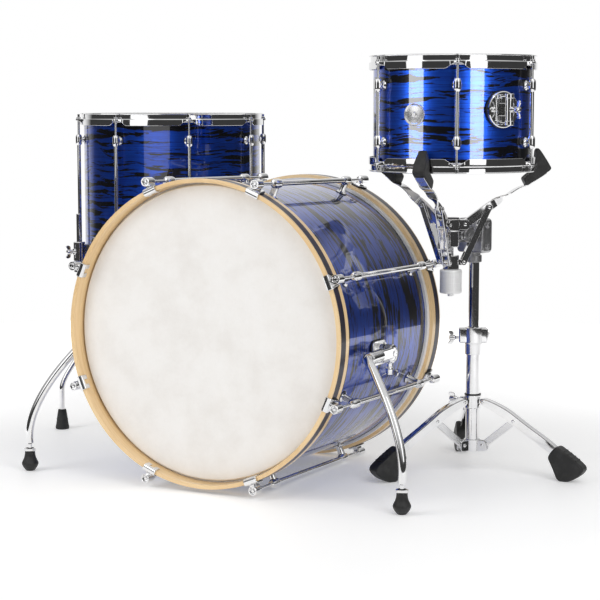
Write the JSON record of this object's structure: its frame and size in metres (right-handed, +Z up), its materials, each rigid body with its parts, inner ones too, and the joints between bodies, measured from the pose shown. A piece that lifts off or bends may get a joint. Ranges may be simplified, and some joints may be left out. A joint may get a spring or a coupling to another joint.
{
  "type": "acoustic drum kit",
  "caption": "Shell drum kit with a bass drum on folding spurs, a floor tom on adjustable legs and a rack tom held in a tilting basket on a folding tripod stand.",
  "frame": {"origin": "on the floor, under the centre of the bounding box", "axes": "+Z up, -Y towards the audience side (front head of the bass drum), +X towards the rack tom and its stand"},
  "size_m": [1.3841, 0.9235, 0.8222],
  "materials": {
    "shell_wrap": "gloss blue pearl wrap",
    "drum_head": "matte fibrous coating",
    "maple_hoop": "clear satin lacquer with a dark blue inlay band",
    "chrome_hoop": "polished plate",
    "chrome": "polished plate",
    "satin_steel": "satin",
    "satin_aluminium": "satin turned",
    "black_rubber": "matte"
  },
  "bodies": {
    "bass_drum": {"bass_shell": "shell_wrap", "bass_front_head": "drum_head", "bass_batter_head": "drum_head", "bass_front_hoop": "maple_hoop", "bass_batter_hoop": "maple_hoop", "spur_bracket_left": "chrome", "spur_bracket_right": "chrome"},
    "spur_left": {"spur_leg_left": "chrome"},
    "spur_foot_left": {"spur_foot_left": "black_rubber"},
    "spur_wing_left": {"spur_wing_nut_left": "chrome"},
    "spur_right": {"spur_leg_right": "chrome"},
    "spur_foot_right": {"spur_foot_right": "black_rubber"},
    "spur_wing_right": {"spur_wing_nut_right": "chrome"},
    "floor_tom": {"floor_tom_shell": "shell_wrap", "floor_tom_batter_head": "drum_head", "floor_tom_bottom_head": "drum_head", "floor_tom_top_hoop": "chrome_hoop", "floor_tom_bottom_hoop": "chrome_hoop", "floor_leg_bracket_1": "chrome", "floor_leg_bracket_2": "chrome", "floor_leg_bracket_3": "chrome"},
    "floor_leg_1": {"floor_leg_1": "chrome"},
    "floor_leg_wing_1": {"floor_leg_wing_screw_1": "chrome"},
    "floor_leg_2": {"floor_leg_2": "chrome"},
    "floor_leg_wing_2": {"floor_leg_wing_screw_2": "chrome"},
    "floor_leg_3": {"floor_leg_3": "chrome"},
    "floor_leg_wing_3": {"floor_leg_wing_screw_3": "chrome"},
    "stand_base": {"stand_lower_tube": "chrome", "height_clamp": "chrome"},
    "tripod_collar": {"tripod_collar": "chrome"},
    "tripod_strut_1": {"tripod_strut_1": "satin_steel"},
    "tripod_leg_1": {"tripod_leg_1": "chrome", "tripod_foot_1": "black_rubber"},
    "tripod_strut_2": {"tripod_strut_2": "satin_steel"},
    "tripod_leg_2": {"tripod_leg_2": "chrome", "tripod_foot_2": "black_rubber"},
    "tripod_strut_3": {"tripod_strut_3": "satin_steel"},
    "tripod_leg_3": {"tripod_leg_3": "chrome", "tripod_foot_3": "black_rubber"},
    "tripod_wing": {"tripod_wing_screw": "chrome"},
    "height_clamp_screw": {"height_clamp_screw": "chrome"},
    "stand_upper": {"stand_upper_tube": "chrome", "tilter_base": "satin_steel"},
    "tilter_wing": {"tilter_wing_screw": "chrome"},
    "basket_post": {"basket_post": "chrome"},
    "basket_lower_hub": {"basket_lower_hub": "chrome"},
    "basket_knob": {"basket_knob": "satin_aluminium"},
    "basket_arm_1": {"basket_arm_1": "chrome"},
    "basket_strut_1": {"basket_strut_1": "chrome"},
    "basket_arm_2": {"basket_arm_2": "chrome"},
    "basket_strut_2": {"basket_strut_2": "chrome"},
    "basket_arm_3": {"basket_arm_3": "chrome"},
    "basket_strut_3": {"basket_strut_3": "chrome"},
    "rack_tom": {"rack_tom_shell": "shell_wrap", "rack_tom_batter_head": "drum_head", "rack_tom_bottom_head": "drum_head", "rack_tom_top_hoop": "chrome_hoop", "rack_tom_bottom_hoop": "chrome_hoop", "rack_mount_bracket": "chrome"},
    "rack_mount_wing": {"rack_mount_wing_screw": "chrome"}
  },
  "joints": [
    {"name": "spur_fold_left", "type": "hinge", "parent": "bass_drum", "child": "spur_left", "pos_m": [-0.2318, -0.2633, 0.262], "axis": [1, 0, 0], "range_deg": [0, 115]},
    {"name": "spur_foot_slide_left", "type": "slide", "parent": "spur_left", "child": "spur_foot_left", "axis": [0, 0, 1], "range_m": [0, 0.01]},
    {"name": "spur_wing_turn_left", "type": "hinge", "parent": "spur_left", "child": "spur_wing_left", "pos_m": [-0.2318, -0.2633, 0.2437], "axis": [0, 0, -1], "continuous": true},
    {"name": "spur_fold_right", "type": "hinge", "parent": "bass_drum", "child": "spur_right", "pos_m": [0.3782, -0.2633, 0.262], "axis": [1, 0, 0], "range_deg": [0, 70]},
    {"name": "spur_foot_slide_right", "type": "slide", "parent": "spur_right", "child": "spur_foot_right", "axis": [0, 0, 1], "range_m": [0, 0.01]},
    {"name": "spur_wing_turn_right", "type": "hinge", "parent": "spur_right", "child": "spur_wing_right", "pos_m": [0.3782, -0.2633, 0.2437], "axis": [0, 0, -1], "continuous": true},
    {"name": "floor_tom_lift", "type": "slide", "parent": "bass_drum", "child": "floor_tom", "axis": [0, 0, 1], "range_m": [0, 0.25]},
    {"name": "floor_leg_slide_1", "type": "slide", "parent": "floor_tom", "child": "floor_leg_1", "axis": [0, 0, 1], "range_m": [-0.04, 0.12]},
    {"name": "floor_leg_wing_turn_1", "type": "hinge", "parent": "floor_tom", "child": "floor_leg_wing_1", "pos_m": [-0.52159, 0.0013, 0.4], "axis": [-0.4368, -0.8996, 0], "continuous": true},
    {"name": "floor_leg_slide_2", "type": "slide", "parent": "floor_tom", "child": "floor_leg_2", "axis": [0, 0, 1], "range_m": [-0.04, 0.12]},
    {"name": "floor_leg_wing_turn_2", "type": "hinge", "parent": "floor_tom", "child": "floor_leg_wing_2", "pos_m": [-0.15847, 0.32369, 0.4], "axis": [0.9449, 0.3272, 0], "continuous": true},
    {"name": "floor_leg_slide_3", "type": "slide", "parent": "floor_tom", "child": "floor_leg_3", "axis": [0, 0, 1], "range_m": [-0.04, 0.12]},
    {"name": "floor_leg_wing_turn_3", "type": "hinge", "parent": "floor_tom", "child": "floor_leg_wing_3", "pos_m": [-0.6432, 0.35249, 0.4], "axis": [-0.8996, 0.4368, 0], "continuous": true},
    {"name": "stand_carry_off", "type": "slide", "parent": "bass_drum", "child": "stand_base", "axis": [1, 0, 0], "range_m": [0, 0.25]},
    {"name": "tripod_fold", "type": "hinge", "parent": "stand_base", "child": "tripod_strut_1", "pos_m": [0.47719, -0.02714, 0.0543], "axis": [-0.0349, -0.9994, 0], "range_deg": [0, 34]},
    {"name": "tripod_leg_swing_1", "type": "hinge", "parent": "tripod_strut_1", "child": "tripod_leg_1", "pos_m": [0.54365, -0.02946, 0.109], "axis": [0.0349, 0.9994, 0], "range_deg": [0, 79]},
    {"name": "tripod_strut_swing_2", "type": "hinge", "parent": "stand_base", "child": "tripod_strut_2", "pos_m": [0.44193, -0.00511, 0.0543], "axis": [0.8829, 0.4695, 0], "range_deg": [0, 34]},
    {"name": "tripod_leg_swing_2", "type": "hinge", "parent": "tripod_strut_2", "child": "tripod_leg_2", "pos_m": [0.41071, 0.05361, 0.109], "axis": [-0.8829, -0.4695, 0], "range_deg": [0, 79]},
    {"name": "tripod_strut_swing_3", "type": "hinge", "parent": "stand_base", "child": "tripod_strut_3", "pos_m": [0.44048, -0.04665, 0.0543], "axis": [-0.848, 0.5299, 0], "range_deg": [0, 34]},
    {"name": "tripod_leg_swing_3", "type": "hinge", "parent": "tripod_strut_3", "child": "tripod_leg_3", "pos_m": [0.40524, -0.10305, 0.109], "axis": [0.848, -0.5299, 0], "range_deg": [0, 79]},
    {"name": "tripod_collar_slide", "type": "slide", "parent": "stand_base", "child": "tripod_collar", "axis": [0, 0, 1], "range_m": [0, 0.0648]},
    {"name": "tripod_wing_turn", "type": "hinge", "parent": "tripod_collar", "child": "tripod_wing", "pos_m": [0.428, -0.0285, 0.144], "axis": [-0.9962, -0.0872, 0], "continuous": true},
    {"name": "height_clamp_screw_turn", "type": "hinge", "parent": "stand_base", "child": "height_clamp_screw", "pos_m": [0.4263, -0.04024, 0.269], "axis": [-0.8878, -0.4602, 0], "continuous": true},
    {"name": "height_slide", "type": "slide", "parent": "stand_base", "child": "stand_upper", "axis": [0, 0, 1], "range_m": [-0.05, 0.08]},
    {"name": "basket_tilt", "type": "hinge", "parent": "stand_upper", "child": "basket_post", "pos_m": [0.44456, -0.06331, 0.475], "axis": [0.9738, -0.2273, 0], "range_deg": [-15, 15]},
    {"name": "tilter_wing_turn", "type": "hinge", "parent": "stand_upper", "child": "tilter_wing", "pos_m": [0.43161, -0.06028, 0.475], "axis": [-0.9738, 0.2274, 0], "continuous": true},
    {"name": "basket_open", "type": "hinge", "parent": "basket_post", "child": "basket_arm_1", "pos_m": [0.45623, -0.08812, 0.4985], "axis": [-0.5878, 0.809, 0], "range_deg": [0, 10]},
    {"name": "basket_arm_swing_2", "type": "hinge", "parent": "basket_post", "child": "basket_arm_2", "pos_m": [0.41093, -0.09408, 0.4985], "axis": [-0.3584, -0.9336, 0], "range_deg": [0, 10]},
    {"name": "basket_arm_swing_3", "type": "hinge", "parent": "basket_post", "child": "basket_arm_3", "pos_m": [0.43701, -0.12934, 0.4985], "axis": [0.9976, 0.0698, 0], "range_deg": [0, 10]},
    {"name": "basket_lower_hub_slide", "type": "slide", "parent": "basket_post", "child": "basket_lower_hub", "axis": [0, 0, 1], "range_m": [-0.0066, 0]},
    {"name": "basket_strut_swing_1", "type": "hinge", "parent": "basket_lower_hub", "child": "basket_strut_1", "pos_m": [0.45462, -0.08929, 0.425], "axis": [-0.5878, 0.809, 0], "range_deg": [0, 2.81]},
    {"name": "basket_strut_swing_2", "type": "hinge", "parent": "basket_lower_hub", "child": "basket_strut_2", "pos_m": [0.41279, -0.0948, 0.425], "axis": [-0.3584, -0.9336, 0], "range_deg": [0, 2.81]},
    {"name": "basket_strut_swing_3", "type": "hinge", "parent": "basket_lower_hub", "child": "basket_strut_3", "pos_m": [0.43687, -0.12734, 0.425], "axis": [0.9976, 0.0698, 0], "range_deg": [0, 2.81]},
    {"name": "basket_knob_turn", "type": "hinge", "parent": "basket_lower_hub", "child": "basket_knob", "pos_m": [0.4352, -0.1034, 0.3885], "axis": [0, 0, 1], "continuous": true},
    {"name": "rack_tom_lift", "type": "slide", "parent": "basket_post", "child": "rack_tom", "axis": [0, 0, 1], "range_m": [0, 0.2]},
    {"name": "rack_mount_wing_turn", "type": "hinge", "parent": "rack_tom", "child": "rack_mount_wing", "pos_m": [0.59828, -0.2053, 0.72], "axis": [0.848, -0.5299, 0], "continuous": true}
  ],
  "couplings": [
    {"joint": "tripod_leg_swing_1", "follows": "tripod_fold", "ratio": 2.3217},
    {"joint": "tripod_strut_swing_2", "follows": "tripod_fold", "ratio": 1},
    {"joint": "tripod_leg_swing_2", "follows": "tripod_fold", "ratio": 2.3217},
    {"joint": "tripod_strut_swing_3", "follows": "tripod_fold", "ratio": 1},
    {"joint": "tripod_leg_swing_3", "follows": "tripod_fold", "ratio": 2.3217},
    {"joint": "tripod_collar_slide", "follows": "tripod_fold", "m_per_rad": 0.1089},
    {"joint": "basket_arm_swing_2", "follows": "basket_open", "ratio": 1},
    {"joint": "basket_arm_swing_3", "follows": "basket_open", "ratio": 1},
    {"joint": "basket_lower_hub_slide", "follows": "basket_open", "m_per_rad": -0.03604},
    {"joint": "basket_strut_swing_1", "follows": "basket_open", "ratio": 0.2705},
    {"joint": "basket_strut_swing_2", "follows": "basket_open", "ratio": 0.2705},
    {"joint": "basket_strut_swing_3", "follows": "basket_open", "ratio": 0.2705}
  ]
}
